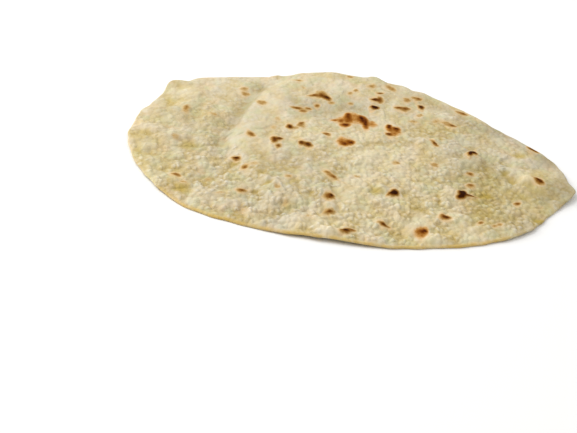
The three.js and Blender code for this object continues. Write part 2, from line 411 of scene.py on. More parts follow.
@dataclass(frozen=True)
class SpotForm:
    """How one kind of spot becomes a field on the plan of the bread.

    Attributes:
        seed: the seed of the outlines.
        spread: how far the field reaches, as a share of the spot's size.
        fringe: how far it reaches beyond that, in pixels.
        wobble: how uneven the outlines are.
        lean: how much higher the field is on the right and at the back.
        softness: the power of its profile.
        skirt: how much further it reaches towards the front.
        lobes: the waves round the outline.
    """

    seed: int
    spread: float = 1.2
    fringe: float = 0.0
    wobble: float = 0.2
    lean: Span = (0.0, 0.0)
    softness: float = 1.0
    skirt: float = 1.0
    lobes: tuple[int, ...] = (2, 3, 5)

    def dome(self, draw: random.Random, plan: np.ndarray, middle: np.ndarray, axes: np.ndarray) -> np.ndarray:
        """Raises a dome on an uneven outline, higher towards its leaning side.

        Args:
            draw: draws the outline.
            plan: the points, one row of x and y each.
            middle: the spot's x and y.
            axes: its two half axes, one in each column.

        Returns:
            One height for each point: about 1 in the middle and 0 from the outline on.
        """
        along = np.linalg.solve(axes, (plan - middle).T)
        along[1] /= np.where(along[1] < 0, self.skirt, 1)
        angles = np.arctan2(along[1], along[0])
        outline = np.ones(len(plan))
        for lobes in self.lobes:
            phase = draw.uniform(0, WHOLE_TURN)
            outline += self.wobble / math.sqrt(lobes) * np.sin(lobes * angles + phase)
        inside = np.clip(1 - np.sum(along**2, axis=0) / outline**2, 0, None) ** self.softness
        return inside * np.clip(1 + self.lean[0] * along[0] + self.lean[1] * along[1], 0, None)


@dataclass(frozen=True)
class Layer:
    """Patches that make one field, and the form of that field."""

    patches: tuple[Patch, ...]
    form: SpotForm


# Fields of the upper face
LAYERS = {
    "swollen": Layer(SWELLS, SpotForm(9, spread=1.5, softness=1.7)),
    "hollow": Layer(HOLLOWS, SpotForm(6, spread=1.4, softness=1.4)),
    "ruddy": Layer(RUDDY_PATCHES, SpotForm(12)),
    "warm": Layer(WARM_PATCHES, SpotForm(7)),
    "smooth": Layer(SMOOTH_PATCHES, SpotForm(10)),
    "pebbly": Layer(PEBBLY_PATCHES, SpotForm(13)),
}
SHOWN_LAYERS = ("swollen", "hollow", "ruddy", "warm")
SHADE_FORM = SpotForm(8)
MARKS = (*BACK_MARKS, *MIDDLE_MARKS, *FRONT_MARKS)
MARK_SKIRT = 1.15
MARK_FORMS = {
    "toast": SpotForm(5, spread=2.0, wobble=0.1, lean=(0.25, 0.12), softness=1.8, skirt=MARK_SKIRT),
    "halo": SpotForm(5, spread=2.6, lean=(-0.3, -0.25)),
    "blush": SpotForm(5, spread=1.55, fringe=2.2, skirt=MARK_SKIRT),
}
UNDER_FORM = SpotForm(11)


@dataclass(frozen=True)
class PhotoCamera:
    """The photograph's view: where the camera stands, how it is turned, and where the origin shows."""

    distance: float = 1169 * MM
    elevation: float = math.radians(24.5)
    roll: float = math.radians(8.1)
    focal_pixels: float = 1705
    origin_pixel: Pixel = (353.1, 153.6)
    sensor: float = 36.0

    def turn(self) -> Matrix:
        """Returns the camera's right, up and back directions, as columns."""
        tipped = Matrix.Rotation(math.pi / 2 - self.elevation, 3, "X")
        return tipped @ Matrix.Rotation(self.roll, 3, "Z")

    def ray(self, pixel: Pixel) -> Vector:
        """Returns the way from the camera to what shows at a pixel, one unit deep."""
        offset = Vector((pixel[0] - IMAGE_WIDTH / 2, IMAGE_HEIGHT / 2 - pixel[1], -self.focal_pixels))
        return self.turn() @ (offset / self.focal_pixels)

    def place(self) -> Vector:
        """Returns where the camera stands."""
        return -self.distance * self.ray(self.origin_pixel)

    def on_level(self, pixel: Pixel, height: float) -> np.ndarray:
        """Finds where a pixel's ray meets a level plane.

        Args:
            pixel: the pixel's x and y.
            height: the height of the plane.

        Returns:
            The place's x and y.
        """
        place = self.place()
        ray = self.ray(pixel)
        point = place + ray * ((height - place.z) / ray.z)
        return np.array(point.xy)

    def build(self) -> None:
        """Makes the camera and gives it to the scene."""
        data = bpy.data.cameras.new("photo_camera")
        data.sensor_width = self.sensor
        data.lens = self.focal_pixels / IMAGE_WIDTH * self.sensor
        camera = bpy.data.objects.new("photo_camera", data)
        camera.matrix_world = Matrix.Translation(self.place()) @ self.turn().to_4x4()
        bpy.context.scene.collection.objects.link(camera)
        bpy.context.scene.camera = camera


class MeasuredBread:
    """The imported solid, measured from above and below."""

    MERGE_DISTANCE = 0.01 * MM
    RIM_SAMPLES = 7
    FAR = 1.0

    def __init__(self, node: bpy.types.Object) -> None:
        """Reads the solid.

        Args:
            node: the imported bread, which stays as it is.
        """
        solid = bmesh.new()
        solid.from_mesh(node.data)
        bmesh.ops.remove_doubles(solid, verts=solid.verts, dist=self.MERGE_DISTANCE)
        solid.normal_update()
        self.tree = BVHTree.FromBMesh(solid)
        self._rim = self._rim_table(solid)
        solid.free()

    @staticmethod
    def _rim_table(solid: bmesh.types.BMesh) -> tuple[np.ndarray, np.ndarray]:
        """Finds the edge where the upper face turns under.

        Args:
            solid: the solid.

        Returns:
            The angles, three times round, and the radii of the edge.
        """
        turning = [
            edge for edge in solid.edges if edge.link_faces[0].normal.z * edge.link_faces[1].normal.z < 0
        ]
        points = {vertex for edge in turning for vertex in edge.verts}
        polar = sorted((math.atan2(p.co.y, p.co.x), p.co.xy.length) for p in points)
        angles, radii = np.array(polar).T
        return np.concatenate((angles - WHOLE_TURN, angles, angles + WHOLE_TURN)), np.tile(radii, 3)

    def rim_radius(self, angles: np.ndarray, blur: float) -> np.ndarray:
        """Measures the outline.

        Args:
            angles: the angles, in radians.
            blur: how far to either side the outline is averaged, in radians.

        Returns:
            The radius at each angle, in metres.
        """
        wrapped = np.mod(np.asarray(angles), WHOLE_TURN)
        steps = np.linspace(-blur, blur, self.RIM_SAMPLES)
        return np.mean([np.interp(wrapped + step, *self._rim) for step in steps], axis=0)

    def heights(self, x: float, y: float) -> tuple[float, float]:
        """Measures both faces.

        Args:
            x: where, across.
            y: where, from front to back.

        Returns:
            The heights of the upper and the lower face, or 0 beside the bread.
        """
        ends = (Vector((x, y, self.FAR)), Vector((x, y, -self.FAR)))
        hits = [self.tree.ray_cast(end, Vector((0, 0, -end.z)))[0] for end in ends]
        top, bottom = (0.0 if hit is None else hit.z for hit in hits)
        return top, bottom

    def seen(self, camera: PhotoCamera, pixel: Pixel) -> Vector | None:
        """Returns the point of the bread that shows at a pixel."""
        return self.tree.ray_cast(camera.place(), camera.ray(pixel))[0]


@dataclass(frozen=True)
class SeenFace:
    """The upper face as the photograph shows it, where spots become fields at the lattice's points."""

    camera: PhotoCamera
    solid: MeasuredBread
    plan: np.ndarray
    halo_height: float
    blending: float = 4.0

    def _axes(self, spot: Mark | Patch, form: SpotForm, height: float) -> np.ndarray:
        """Lays a spot's size on the plan.

        Args:
            spot: the spot.
            form: how far its field reaches.
            height: the height at which it lies.

        Returns:
            Its two half axes, as columns.
        """
        tilt = math.radians(spot.tilt)
        level, plumb = math.cos(tilt), math.sin(tilt)
        across, along = (form.spread * size / 2 + form.fringe for size in (spot.wide, spot.tall))
        here = self.camera.on_level((spot.x, spot.y), height)
        beside = self.camera.on_level((spot.x + across * level, spot.y + across * plumb), height)
        behind = self.camera.on_level((spot.x + along * plumb, spot.y - along * level), height)
        return np.column_stack((beside - here, behind - here))

    def _domes(
        self, spots: Iterable[Mark | Patch], form: SpotForm, rise: np.ndarray | None
    ) -> Iterator[np.ndarray]:
        """Raises the domes of the spots that fall on the bread.

        Args:
            spots: the marks or patches.
            form: how they become fields.
            rise: how far the finished bread stands above the solid at each point, or none.

        Returns:
            For each spot, one value for each point, up to about the spot's level.
        """
        draw = random.Random(form.seed)
        for spot in spots:
            middle = self.solid.seen(self.camera, (spot.x, spot.y))
            if middle is None:
                LOG.warning("spot at %s, %s falls off the bread", spot.x, spot.y)
                continue
            height = middle.z
            if rise is not None:
                nearest = np.argmin(np.sum((self.plan - np.array(middle.xy)) ** 2, axis=1))
                height += rise[nearest] + self.halo_height * spot.level**2
            place = self.camera.on_level((spot.x, spot.y), height)
            yield spot.level * form.dome(draw, self.plan, place, self._axes(spot, form, height))

    def blended(
        self, spots: Iterable[Mark | Patch], form: SpotForm, rise: np.ndarray | None = None
    ) -> np.ndarray:
        """Returns the spots' field, in which the strongest spot at a point counts most."""
        total = sum(dome**self.blending for dome in self._domes(spots, form, rise))
        return total ** (1 / self.blending)

    def summed(self, spots: Iterable[Mark | Patch], form: SpotForm) -> np.ndarray:
        """Returns the spots' field, in which all the spots at a point add up."""
        return sum(self._domes(spots, form, None))


@dataclass(frozen=True)
class Crest:
    """The left edge of the air pocket, where the bread rises steeply out of a trough; its slope gets painted
    shade and its shoulder a painted highlight.
    """

    line: tuple[Pixel, ...] = (
        (273, 79), (267, 84), (259, 96), (247, 109.5), (238, 123), (230.5, 132), (226, 144),
        (226.5, 152), (232, 160),
    )
    level: float = 3.7 * MM
    trough_reach: float = 15 * MM
    shoulder_reach: float = 22 * MM
    step: float = 2.5 * MM
    fade: float = 0.14
    # How the slope's painted shade fades towards the lower end of the line
    shade_fading_span: Span = (0.45, 0.65)
    shade_after_fading: float = 0.45

    def _offsets(self, camera: PhotoCamera, plan: np.ndarray) -> tuple[np.ndarray, np.ndarray]:
        """Measures the points against the line.

        Args:
            camera: the photograph's view.
            plan: the points' x and y.

        Returns:
            How far each point lies on the pocket's side of the line, and how far along it, from 0 to 1.
        """
        corners = [camera.on_level(pixel, self.level) for pixel in self.line]
        away = np.full(len(plan), np.inf)
        along = np.zeros(len(plan))
        for i, (start, end) in enumerate(zip(corners, corners[1:])):
            run = end - start
            share = np.clip((plan - start) @ run / (run @ run), 0, 1)
            gap = plan - start - np.outer(share, run)
            distance = np.hypot(*gap.T)
            side = np.sign(run[0] * (plan[:, 1] - start[1]) - run[1] * (plan[:, 0] - start[0]))
            nearer = distance < np.abs(away)
            away = np.where(nearer, side * distance, away)
            along = np.where(nearer, (i + share) / (len(corners) - 1), along)
        return away, along

    def fields(self, camera: PhotoCamera, plan: np.ndarray) -> tuple[np.ndarray, np.ndarray, np.ndarray]:
        """Makes the crest's fields.

        Args:
            camera: the photograph's view.
            plan: the points' x and y.

        Returns:
            The trough left of the line, the shoulder right of it, which gets a painted highlight, and the
            slope, which gets painted shade, each from 0 to 1.
        """
        away, along = self._offsets(camera, plan)
        lasting = eased(along, 0, self.fade) * eased(along, 1, 1 - self.fade)
        crossed = eased(away, -self.step, self.step / 2)
        falling = eased(away, -self.trough_reach, -self.step)
        shoulder = crossed * eased(away, self.shoulder_reach, self.step)
        # How strongly the slope's painted shade shows along the line
        shade_along_line = 1 - (1 - self.shade_after_fading) * eased(along, *self.shade_fading_span)
        slope = lasting * shade_along_line * (falling * eased(away, self.step, 0))
        return lasting * (falling * (1 - crossed)), lasting * shoulder, slope


class LatticePoint(NamedTuple):
    """A place on the bread, its share of the radius, 1 on top or 0 below, and the thickness there."""

    x: float
    y: float
    z: float
    share: float
    upper: float
    thickness: float


@dataclass
class Lattice:
    """Rings of points on both faces of the bread, joined round a rounded rim."""

    solid: MeasuredBread
    upper_rings: int = 168
    lower_rings: int = 56
    sectors: int = 6
    rim_blur: float = math.radians(0.8)
    rim_inset: float = 0.55 * MM
    rim_profile: tuple[Span, ...] = ((0.12, 0.82), (0.0, 0.5), (0.18, 0.18))
    measured_inset: float = 2 * MM
    ripple: float = 0.22 * MM
    ripple_seed: int = 4
    ripple_waves: tuple[int, ...] = (17, 23, 31, 43, 59)
    ripple_heights: Span = (0.3, 1)
    ripple_power: int = 4
    points: list[LatticePoint] = field(default_factory=list)
    faces: list[tuple[int, ...]] = field(default_factory=list)

    def _ripple(self, angles: np.ndarray) -> np.ndarray:
        """Makes the outline a little uneven.

        Args:
            angles: the angles, in radians.

        Returns:
            How far the outline moves out at each angle.
        """
        draw = random.Random(self.ripple_seed)
        total = np.zeros(len(angles))
        for waves in self.ripple_waves:
            total += draw.uniform(*self.ripple_heights) * np.sin(waves * angles + draw.uniform(0, WHOLE_TURN))
        return self.ripple * total

    def _ring(self, ring: int, rings: int) -> tuple[np.ndarray, np.ndarray]:
        """Divides a ring.

        Args:
            ring: the ring's number, from the middle.
            rings: how many rings the face has.

        Returns:
            The ring's angles, and the outline's radius at each of them.
        """
        count = max(1, self.sectors * ring)
        angles = np.arange(count) * WHOLE_TURN / count
        ripple = self._ripple(angles) * (ring / rings) ** self.ripple_power
        return angles, self.solid.rim_radius(angles, self.rim_blur) + ripple

    def _face(self, rings: int, inset: float, above: bool) -> int:
        """Adds one face's points.

        Args:
            rings: how many rings the face has.
            inset: how far the last ring lies inside the outline.
            above: whether it is the upper face.

        Returns:
            The place of the first point.
        """
        start = len(self.points)
        for ring in range(rings + 1):
            share = ring / rings
            for angle, radius in zip(*self._ring(ring, rings)):
                x, y = math.cos(angle), math.sin(angle)
                measured = share * (radius - self.measured_inset)
                top, bottom = self.solid.heights(measured * x, measured * y)
                placed = share * (radius - inset)
                height = top if above else bottom
                self.points.append(
                    LatticePoint(placed * x, placed * y, height, share, float(above), top - bottom)
                )
        return start

    def _on_ring(self, ring: int, i: int) -> int:
        """Returns the place of a ring's point on its face, counting round."""
        return 0 if ring == 0 else 1 + self.sectors // 2 * ring * (ring - 1) + i % (self.sectors * ring)

    def _span(self, start: int, rings: int, above: bool) -> None:
        """Adds one face's triangles.

        Args:
            start: the place of the face's first point.
            rings: how many rings it has.
            above: whether it is the upper face.
        """
        for ring in range(rings):
            for sector in range(self.sectors):
                for i in range(ring + 1):
                    here = self._on_ring(ring, sector * ring + i)
                    beside = self._on_ring(ring + 1, sector * (ring + 1) + i)
                    ahead = self._on_ring(ring + 1, sector * (ring + 1) + i + 1)
                    corners = [(here, beside, ahead)]
                    if i < ring:
                        corners.append((here, ahead, self._on_ring(ring, sector * ring + i + 1)))
                    for corner in corners:
                        ordered = corner if above else corner[::-1]
                        self.faces.append(tuple(start + place for place in ordered))

    def _rim(self, upper_start: int, lower_start: int) -> None:
        """Rounds the rim between the two faces.

        Args:
            upper_start: the place of the upper face's first point.
            lower_start: the place of the lower one's.
        """
        angles, radii = self._ring(self.upper_rings, self.upper_rings)
        count = len(angles)
        edge = [upper_start + self._on_ring(self.upper_rings, i) for i in range(count)]
        above = edge
        for inset, rise in self.rim_profile:
            row = list(range(len(self.points), len(self.points) + count))
            for place, angle, radius in zip(edge, angles, radii):
                top = self.points[place]
                reach = radius - inset * top.thickness
                x, y = reach * math.cos(angle), reach * math.sin(angle)
                height = top.z - top.thickness * (1 - rise)
                self.points.append(LatticePoint(x, y, height, 1.0, rise, top.thickness))
            for i in range(count):
                after = (i + 1) % count
                self.faces.append((row[i], row[after], above[after], above[i]))
            above = row
        ratio = self.upper_rings // self.lower_rings
        middle = ratio // 2
        for i in range(count // ratio):
            low = [lower_start + self._on_ring(self.lower_rings, i + step) for step in (0, 1)]
            high = [above[(ratio * i + step) % count] for step in range(ratio + 1)]
            self.faces.append((low[0], low[1], high[middle]))
            for step in range(ratio):
                corner = low[0] if step < middle else low[1]
                self.faces.append((corner, high[step + 1], high[step]))

    def build(self) -> bpy.types.Mesh:
        """Makes the points and faces.

        Returns:
            The lattice's mesh.
        """
        upper_start = self._face(self.upper_rings, self.rim_inset, above=True)
        lower_start = self._face(self.lower_rings, 2 * self.rim_inset, above=False)
        self._span(upper_start, self.upper_rings, above=True)
        self._span(lower_start, self.lower_rings, above=False)
        self._rim(upper_start, lower_start)
        mesh = bpy.data.meshes.new("lavash_lattice")
        mesh.from_pydata([point[:3] for point in self.points], [], self.faces)
        return mesh


@dataclass(frozen=True)
class DomeProfile:
    """One kind of dome.

    Attributes:
        shift: how far the seed moves the pattern.
        rim: where a dome starts, as a share of the distance between domes.
        rarity: the share of the domes that stay flat.
        fullness: the power of the profile, from 0.5 for half balls to 1.5 for soft mounds.
    """

    shift: float
    rim: float
    rarity: float
    fullness: float


DOME_PROFILES = {
    "blister": DomeProfile(0.31, 0.66, 0.35, 1.4),
    "lump": DomeProfile(0.23, 0.7, 0.35, 1.2),
    "pebble": DomeProfile(0.17, 0.7, -0.5, 0.8),
}

# The sheet was rolled from front to back, so that its bubbles are longer that way
ROLLING = (1.0, 0.7, 1.0)
STIR_DETAIL = 2.0

# Where the bubbles die away: towards the rim, and beside the toasted marks
STILL_RIM = (1.0, 0.97)
CLEAR_OF_MARKS = (0.7, 0.05)


@dataclass(frozen=True)
class BubbleSizes:
    """Sizes of the fine relief, in metres, in the order of the tree's inputs."""

    blister_width: float = 17 * MM
    blister_height: float = 1.6 * MM
    lump_width: float = 8.4 * MM
    lump_height: float = 1.2 * MM
    pebble_width: float = 3.6 * MM
    pebble_height: float = 1.5 * MM
    swell_width: float = 38 * MM
    swell_height: float = 0.9 * MM
    stir_width: float = 9 * MM
    stir: float = 4 * MM
    halo_height: float = 0.6 * MM
    swollen_height: float = 2.0 * MM
    hollow_depth: float = 1.3 * MM
    trough_depth: float = 1.2 * MM
    smoothing: int = 9
    mark_blur: int = 1
    seed: float = 3.0


@dataclass(frozen=True)
class Domes:
    """Round domes of uneven height, which the shape and the finish share."""

    canvas: Canvas
    colour_splitter: str

    def plan(
        self, position: Field, shift: Field | float, width: Field | float, reach: Field | float
    ) -> Field:
        """Moves a point and then stirs it, so that no two domes look alike.

        Args:
            position: where the point lies on the bread.
            shift: how far the whole pattern is moved.
            width: the width of the stirring swirls.
            reach: how far they stir.

        Returns:
            The place in the pattern.
        """
        canvas = self.canvas
        offset, stir = (
            canvas.field("ShaderNodeCombineXYZ", {}, {"X": far, "Y": far}) for far in (shift, reach)
        )
        place = canvas.vector("MULTIPLY_ADD", position, ROLLING, offset)
        swirl = canvas.noise(place, width, STIR_DETAIL, flat=True, output="Color")
        return canvas.vector("MULTIPLY_ADD", swirl, stir, place)

    def heights(self, plan: Field, width: Field | float, profile: DomeProfile) -> Field:
        """Raises the domes.

        Args:
            plan: the place in the pattern.
            width: how far apart the domes stand.
            profile: their kind.

        Returns:
            Heights from 0 to 1.
        """
        settings = {"voronoi_dimensions": "2D", "feature": "F1"}
        cells = self.canvas.node("ShaderNodeTexVoronoi", settings, {"Vector": plan, "Scale": 1 / width})
        away = Field(self.canvas, cells.outputs["Distance"]) * (1 / profile.rim)
        dome = (1 - away * away).larger(0.0).power(profile.fullness)
        chance = Field(self.canvas, cells.outputs["Color"])
        own = self.canvas.field(self.colour_splitter, {}, {"Color": chance}, output="Red")
        return dome * own.ease(profile.rarity, 1.0)


class BubbleTree:
    """The Geometry Nodes tree that smooths the measured heights and raises the fine bubbles."""

    SWELL_DETAIL = 1.0
    PEBBLE_MEAN = 0.45
    LARGE_WHERE_SMOOTH = 0.4
    LARGE_BESIDE_MARKS = 0.25
    PEBBLES_BESIDE_MARKS = 0.15
    PEBBLES_BELOW = 0.3
    RELIEF_SHARE = 0.5

    def __init__(self, sizes: BubbleSizes) -> None:
        """Builds the tree.

        Args:
            sizes: the values that its inputs get.
        """
        self.sizes = sizes
        self.tree = bpy.data.node_groups.new("bread_bubbles", "GeometryNodeTree")
        self.canvas = Canvas(self.tree)
        self.domes = Domes(self.canvas, "FunctionNodeSeparateColor")
        self.inputs: dict[str, str] = {}
        self._sockets()
        self._source = self.canvas.node("NodeGroupInput")
        self._grow()

    def _sockets(self) -> None:
        """Makes the tree's inputs and its output."""
        interface = self.tree.interface
        interface.new_socket("Geometry", in_out="INPUT", socket_type="NodeSocketGeometry")
        interface.new_socket("Geometry", in_out="OUTPUT", socket_type="NodeSocketGeometry")
        for name, value in vars(self.sizes).items():
            kind = "NodeSocketInt" if isinstance(value, int) else "NodeSocketFloat"
            self.inputs[name] = interface.new_socket(name, in_out="INPUT", socket_type=kind).identifier
        crust = interface.new_socket("crust", in_out="INPUT", socket_type="NodeSocketMaterial")
        self.inputs["crust"] = crust.identifier

    def _given(self, name: str) -> Field:
        """Returns one of the tree's inputs."""
        return Field(self.canvas, self._source.outputs[name])

    def _read(self, name: str) -> Field:
        """Reads one of the lattice's attributes."""
        return self.canvas.field("GeometryNodeInputNamedAttribute", {"data_type": "FLOAT"}, {"Name": name})

    def _sized(self, values: Mapping[str, Field]) -> Field:
        """Adds up values, each multiplied by the input of its name."""
        first, *others = (value * self._given(name) for name, value in values.items())
        return sum(others, first)

    def _blurred(self, value: Field, times: str, weight: Field | float = 1.0) -> Field:
        """Averages a value with its neighbours, as often as the input of that name says."""
        sockets = {"Value": value, "Iterations": self._given(times), "Weight": weight}
        return self.canvas.field("GeometryNodeBlurAttribute", {"data_type": "FLOAT"}, sockets)

    def _raise_domes(self, position: Field, name: str) -> Field:
        """Raises one kind of dome.

        Args:
            position: where a point lies on the bread.
            name: the kind's name.

        Returns:
            Heights from 0 to 1.
        """
        profile = DOME_PROFILES[name]
        shift = self._given("seed") * profile.shift
        plan = self.domes.plan(position, shift, self._given("stir_width"), self._given("stir"))
        return self.domes.heights(plan, self._given(f"{name}_width"), profile)

    def _lift(self, position: Field, domes: Mapping[str, Field]) -> Field:
        """Adds up the relief of the upper face.

        Args:
            position: where a point lies on the bread.
            domes: the heights of each kind of dome, from 0 to 1.

        Returns:
            How far the point is raised.
        """
        rough = self._read("rough")
        halo = self._read("halo")
        clear = halo.ease(*CLEAR_OF_MARKS)
        large = self._sized({"blister_height": domes["blister"], "lump_height": domes["lump"]})
        large = large * rough.between(self.LARGE_WHERE_SMOOTH, 1) * clear.between(self.LARGE_BESIDE_MARKS, 1)
        pebbly = self._sized({"pebble_height": domes["pebble"] - self.PEBBLE_MEAN}) * rough
        bubbles = large + pebbly * clear.between(self.PEBBLES_BESIDE_MARKS, 1)
        swell = self.canvas.noise(position, self._given("swell_width"), self.SWELL_DETAIL, flat=True)
        risen = self._sized({"halo_height": halo * halo, "swollen_height": self._read("swollen")})
        sunk = self._sized({"hollow_depth": self._read("hollow"), "trough_depth": self._read("trough")})
        return bubbles + self._sized({"swell_height": swell - 0.5}) + risen - sunk

    def _grow(self) -> None:
        """Fills the tree."""
        canvas = self.canvas
        position = canvas.field("GeometryNodeInputPosition")
        domes = {name: self._raise_domes(position, name) for name in DOME_PROFILES}
        upper = self._read("upper")
        inside = self._read("share").ease(*STILL_RIM)
        under = self._sized({"pebble_height": domes["pebble"]}) * self.PEBBLES_BELOW
        lift = inside * (upper * self._lift(position, domes) + (1 - upper) * under)
        parts = canvas.node("ShaderNodeSeparateXYZ", {}, {"Vector": position})
        x, y, z = (Field(canvas, parts.outputs[name]) for name in "XYZ")
        height = self._blurred(z, "smoothing", inside) + lift
        moved = canvas.field("ShaderNodeCombineXYZ", {}, {"X": x, "Y": y, "Z": height})
        kept = {
            "relief": (domes["blister"] + domes["lump"]) * self.RELIEF_SHARE,
            "toast": self._blurred(self._read("toast"), "mark_blur"),
        }
        shaped = self._given("Geometry")
        for name, value in kept.items():
            settings = {"data_type": "FLOAT", "domain": "POINT"}
            sockets = {"Geometry": shaped, "Name": name, "Value": value}
            shaped = canvas.field("GeometryNodeStoreNamedAttribute", settings, sockets)
        shaped = canvas.field("GeometryNodeSetPosition", {}, {"Geometry": shaped, "Position": moved})
        shaped = canvas.field("GeometryNodeSetShadeSmooth", {}, {"Geometry": shaped})
        shaped = canvas.field("GeometryNodeRealizeInstances", {}, {"Geometry": shaped})
        dressed = {"Geometry": shaped, "Material": self._given("crust")}
        shaped = canvas.field("GeometryNodeSetMaterial", {}, dressed)
        canvas.node("NodeGroupOutput", {}, {"Geometry": shaped})

    def apply(self, piece: bpy.types.Object, crust: bpy.types.Material) -> None:
        """Runs the tree on a piece and leaves a plain mesh.

        Args:
            piece: the lattice's object.
            crust: the material that the tree sets.
        """
        modifier = piece.modifiers.new("bubbles", "NODES")
        modifier.node_group = self.tree
        for name, value in vars(self.sizes).items():
            modifier[self.inputs[name]] = value
        modifier[self.inputs["crust"]] = crust
        evaluated = piece.evaluated_get(bpy.context.evaluated_depsgraph_get())
        finished = bpy.data.meshes.new_from_object(evaluated)
        piece.modifiers.remove(modifier)
        piece.data = finished


@dataclass(frozen=True)
class Tint:
    """Soft patches of another hue in the dough."""

    colour: Colour
    width: float
    strength: float


@dataclass(frozen=True)
class Mottle:
    """Uneven tone of the dough, and the share of it that stays where the bread is smooth."""

    width: float
    detail: float
    strength: float
    least: float


@dataclass(frozen=True)
class Cap:
    """Bumps that are paler on top and darker in the creases, partly flour and thin dough and partly painted
    highlight and painted shade: the height whose tone stays, and how strongly height pales it.
    """

    mean: float
    strength: float

    def tone(self, height: Field) -> Field:
        """Returns how much paler the dough is at a height."""
        return (height - self.mean) * self.strength


@dataclass(frozen=True)
class CrustFinish:
    """Baked dough: cream with floury bumps paler on top partly as painted highlight, yellowish thin places
    darkened partly as painted shade, painted light and shade over broad stretches, and toasted marks.
    """

    dough_stops: Stops = ((0.1, (177, 154, 95)), (0.5, (202, 187, 153)), (0.9, (217, 209, 190)))
    warm_stops: Stops = ((0.1, (166, 141, 64)), (0.5, (194, 174, 114)), (0.9, (212, 200, 160)))
    toast_stops: Stops = (
        (0.0, (216, 190, 148)), (0.2, (199, 168, 114)), (0.4, (172, 136, 80)), (0.55, (150, 108, 52)),
        (0.7, (120, 74, 20)), (0.85, (88, 46, 4)), (1.0, (50, 17, 0)),
    )
    ruddy_stops: Stops = (
        (0.0, (222, 188, 146)), (0.2, (206, 163, 104)), (0.4, (181, 130, 66)), (0.55, (157, 102, 40)),
        (0.7, (133, 76, 16)), (0.85, (102, 48, 3)), (1.0, (60, 20, 0)),
    )
    tints: tuple[Tint, ...] = (
        Tint((224, 200, 168), 13 * MM, 0.44),
        Tint((190, 190, 144), 9 * MM, 0.5),
        Tint((208, 186, 122), 15 * MM, 0.35),
        Tint((220, 212, 192), 12 * MM, 0.4),
    )
    tint_ease: Span = (0.44, 0.68)
    tint_on_warm: float = 0.5
    mottles: tuple[Mottle, ...] = (
        Mottle(9 * MM, 4, 0.8, 0.5),
        Mottle(40 * MM, 3, 0.5, 1.0),
        Mottle(1.2 * MM, 1, 0.42, 0.3),
    )
    # Bumps paler on top and darker in the creases: partly flour and thin dough, partly painted highlight and
    # painted shade
    crumb_cap: Cap = Cap(0.55, 0.2)
    pebble_cap: Cap = Cap(0.185, 0.5)
    relief_cap: Cap = Cap(0.24, 0.5)
    cap_power: float = 3
    caps_where_smooth: float = 0.2
    # Darker olive yellow of the hollows: partly thin dough, partly painted shade
    thin: Colour = (180, 154, 68)
    thin_ease: Span = (0.0, 0.95)
    thin_strength: float = 0.85
    blister: Colour = (224, 211, 184)
    blister_ease: Span = (0.05, 0.7)
    blister_strength: float = 0.5
    swell_strength: float = 0.4
    uneven_width: float = 7 * MM
    uneven_ease: Span = (0.3, 0.65)
    blush: Colour = (214, 183, 137)
    blush_ease: Span = (0.06, 0.62)
    blush_strength: Span = (0.3, 0.9)
    # Golden front rim: partly the edge's own toasted colour, partly painted shade and warm reflected light at
    # the edge
    rim: Colour = (206, 170, 84)
    rim_strength: Span = (0.3, 0.7)
    # How strongly the painted light and shade scale the dough's colour
    shading: float = 0.55
    browning: Span = (0.03, 0.36)
    ruddy_ease: Span = (0.0, 0.5)
    ragged_widths: Span = (3 * MM, 1.1 * MM)
    noise_detail: float = 2
    ragged_fine: float = 0.6
    ragged_mean: float = 0.8
    ragged_ease: Span = (0.0, 0.4)
    raggedness: float = 0.5
    crumb_width: float = 1.9 * MM
    crumb_height: float = 0.12 * MM
    crumb_swirl: float = 5 * MM
    crumb_stir: tuple[float, float, float] = (2.4 * MM, 2.4 * MM, 0.0)
    crumb_smoothness: float = 0.35
    crumb_slope: float = 1.2
    crease_depth: float = 0.42 * MM
    bumps_where_smooth: float = 0.15
    roughness: float = 0.84
    toast_gloss: float = 0.12
    gloss_ease: Span = (0.2, 0.9)
    specular: float = 0.02
    subsurface: float = 0.08
    subsurface_radius: tuple[float, float, float] = (1.0, 0.8, 0.5)
    subsurface_depth: float = 1.0 * MM
    sizes: BubbleSizes = BubbleSizes()

    @staticmethod
    def _attribute(canvas: Canvas, name: str) -> Field:
        """Reads one of the bread's own attributes."""
        return canvas.field("ShaderNodeAttribute", {"attribute_name": name}, output="Fac")

    def _crumbs(self, canvas: Canvas, place: Field, rolled: Field) -> Field:
        """Makes the finest bumps.

        Args:
            canvas: the material's tree.
            place: where a point lies on the bread.
            rolled: that place, shortened along the rolling.

        Returns:
            Heights from 0 in the creases to about 1 on top.
        """
        swirl = canvas.noise(place, self.crumb_swirl, STIR_DETAIL, output="Color")
        stirred = canvas.vector("MULTIPLY_ADD", swirl, self.crumb_stir, rolled)
        settings = {"voronoi_dimensions": "2D", "feature": "SMOOTH_F1"}
        sockets = {"Vector": stirred, "Scale": 1 / self.crumb_width, "Smoothness": self.crumb_smoothness}
        away = canvas.field("ShaderNodeTexVoronoi", settings, sockets, output="Distance")
        return 1 - away * self.crumb_slope

    def _pebbles(self, canvas: Canvas, place: Field) -> Field:
        """Makes the same small domes that the shape has, with crisp creases.

        Args:
            canvas: the material's tree.
            place: where a point lies on the bread.

        Returns:
            Heights from 0 to 1.
        """
        domes = Domes(canvas, "ShaderNodeSeparateColor")
        profile = DOME_PROFILES["pebble"]
        plan = domes.plan(place, self.sizes.seed * profile.shift, self.sizes.stir_width, self.sizes.stir)
        return domes.heights(plan, self.sizes.pebble_width, profile)

    def _tone(self, canvas: Canvas, rolled: Field, crumbs: Field, pebbles: Field) -> Field:
        """Makes the dough's uneven tone.

        Args:
            canvas: the material's tree.
            rolled: where a point lies, shortened along the rolling.
            crumbs: the finest bumps.
            pebbles: the small domes.

        Returns:
            The place on the dough's ramps.
        """
        rough = self._attribute(canvas, "rough")
        relief = self._attribute(canvas, "relief")
